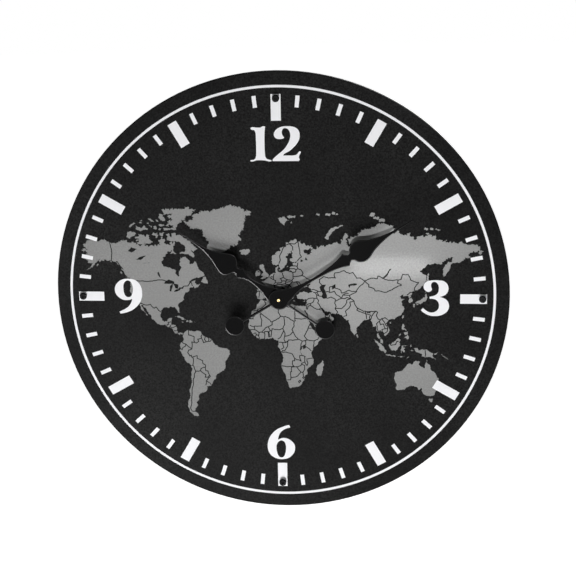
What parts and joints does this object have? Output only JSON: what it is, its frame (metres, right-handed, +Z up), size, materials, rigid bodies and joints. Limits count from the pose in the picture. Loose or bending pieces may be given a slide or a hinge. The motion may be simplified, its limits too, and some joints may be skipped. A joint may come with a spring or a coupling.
{
  "type": "wall clock",
  "caption": "Round flat black wall clock with a world map dial, spade hands, battery movement behind the centre and a keyhole hanger on a rear hoop.",
  "frame": {"origin": "centre of the round hole of the hanger's keyhole, in the plane of the wall", "axes": "+Z up, +Y into the wall, so the dial faces -Y; the hands turn about an axis along Y"},
  "size_m": [0.34, 0.0324, 0.34],
  "materials": {
    "dial_black": "satin black lacquered fibreboard",
    "screw_black": "black",
    "zinc_steel": "zinc plated",
    "hoop_black": "black powder coat",
    "rivet_aluminium": "plain",
    "case_plastic": "moulded black",
    "plate_plastic": "moulded natural",
    "brass_plain": "turned",
    "washer_rubber": "black",
    "hand_black": "matte black lacquer",
    "brass_bright": "bright",
    "wheel_plastic": "moulded natural",
    "magnet_grey": "sintered magnet",
    "soft_iron": "stamped soft iron",
    "winding_copper": "enamelled copper wire",
    "board_green": "resin board",
    "chip_resin": "potted resin",
    "cell_label": "plain wrapped cell",
    "knob_plastic": "moulded black"
  },
  "bodies": {
    "clock_body": {"dial_plate": "dial_black", "dial_screws": "screw_black", "tab_nuts": "zinc_steel", "rear_hoop": "hoop_black", "hoop_tabs": "hoop_black", "hanger_plate": "zinc_steel", "hanger_rivets": "rivet_aluminium", "movement_case": "case_plastic", "movement_cover": "case_plastic", "middle_plate": "plate_plastic", "threaded_bushing": "brass_plain", "rubber_washer": "washer_rubber", "fixing_washer": "brass_plain", "fixing_nut": "brass_plain", "stator": "soft_iron", "coil_core": "soft_iron", "coil_bobbin": "plate_plastic", "coil_winding": "winding_copper", "circuit_board": "board_green", "quartz_can": "zinc_steel", "driver_chip": "chip_resin", "positive_contact": "zinc_steel", "negative_contact": "zinc_steel"},
    "minute_shaft": {"minute_arbor": "brass_bright", "minute_hand": "hand_black", "minute_bush": "hand_black"},
    "hour_shaft": {"hour_wheel": "wheel_plastic", "hour_hand": "hand_black", "hour_bush": "hand_black"},
    "motion_gear": {"motion_wheel": "wheel_plastic"},
    "knob_shaft": {"setting_knob": "knob_plastic"},
    "rotor": {"rotor_pinion": "wheel_plastic", "rotor_magnet": "magnet_grey"},
    "fifth_gear": {"fifth_wheel": "wheel_plastic"},
    "second_gear": {"second_wheel": "wheel_plastic"},
    "third_gear": {"third_wheel": "wheel_plastic"},
    "centre_gear": {"centre_wheel": "wheel_plastic"},
    "cell": {"battery_cell": "cell_label"}
  },
  "joints": [
    {"name": "minute_turn", "type": "hinge", "parent": "clock_body", "child": "minute_shaft", "pos_m": [0, 0, -0.141], "axis": [0, 1, 0], "continuous": true},
    {"name": "hour_turn", "type": "hinge", "parent": "clock_body", "child": "hour_shaft", "pos_m": [0, 0, -0.141], "axis": [0, 1, 0], "continuous": true},
    {"name": "motion_turn", "type": "hinge", "parent": "clock_body", "child": "motion_gear", "pos_m": [0.00735, 0, -0.13483], "axis": [0, 1, 0], "continuous": true},
    {"name": "knob_turn", "type": "hinge", "parent": "clock_body", "child": "knob_shaft", "pos_m": [0.01522, 0, -0.14034], "axis": [0, 1, 0], "continuous": true},
    {"name": "rotor_turn", "type": "hinge", "parent": "clock_body", "child": "rotor", "pos_m": [0.0057, 0, -0.12444], "axis": [0, 1, 0], "continuous": true},
    {"name": "fifth_turn", "type": "hinge", "parent": "clock_body", "child": "fifth_gear", "pos_m": [-0.00211, 0, -0.12513], "axis": [0, 1, 0], "continuous": true},
    {"name": "second_turn", "type": "hinge", "parent": "clock_body", "child": "second_gear", "pos_m": [-0.01038, 0, -0.12658], "axis": [0, 1, 0], "continuous": true},
    {"name": "third_turn", "type": "hinge", "parent": "clock_body", "child": "third_gear", "pos_m": [-0.00873, 0, -0.13596], "axis": [0, 1, 0], "continuous": true},
    {"name": "centre_turn", "type": "hinge", "parent": "clock_body", "child": "centre_gear", "pos_m": [0, 0, -0.141], "axis": [0, 1, 0], "continuous": true},
    {"name": "cell_slide", "type": "slide", "parent": "clock_body", "child": "cell", "axis": [0, 1, 0], "range_m": [0, 0.016]}
  ],
  "couplings": [
    {"joint": "motion_turn", "follows": "minute_turn", "ratio": -0.33333},
    {"joint": "hour_turn", "follows": "minute_turn", "ratio": 0.083333},
    {"joint": "knob_turn", "follows": "minute_turn", "ratio": 1},
    {"joint": "fifth_turn", "follows": "rotor_turn", "ratio": -0.16667},
    {"joint": "second_turn", "follows": "rotor_turn", "ratio": 0.033333},
    {"joint": "third_turn", "follows": "rotor_turn", "ratio": -0.0044444},
    {"joint": "centre_turn", "follows": "rotor_turn", "ratio": 0.00055556}
  ]
}
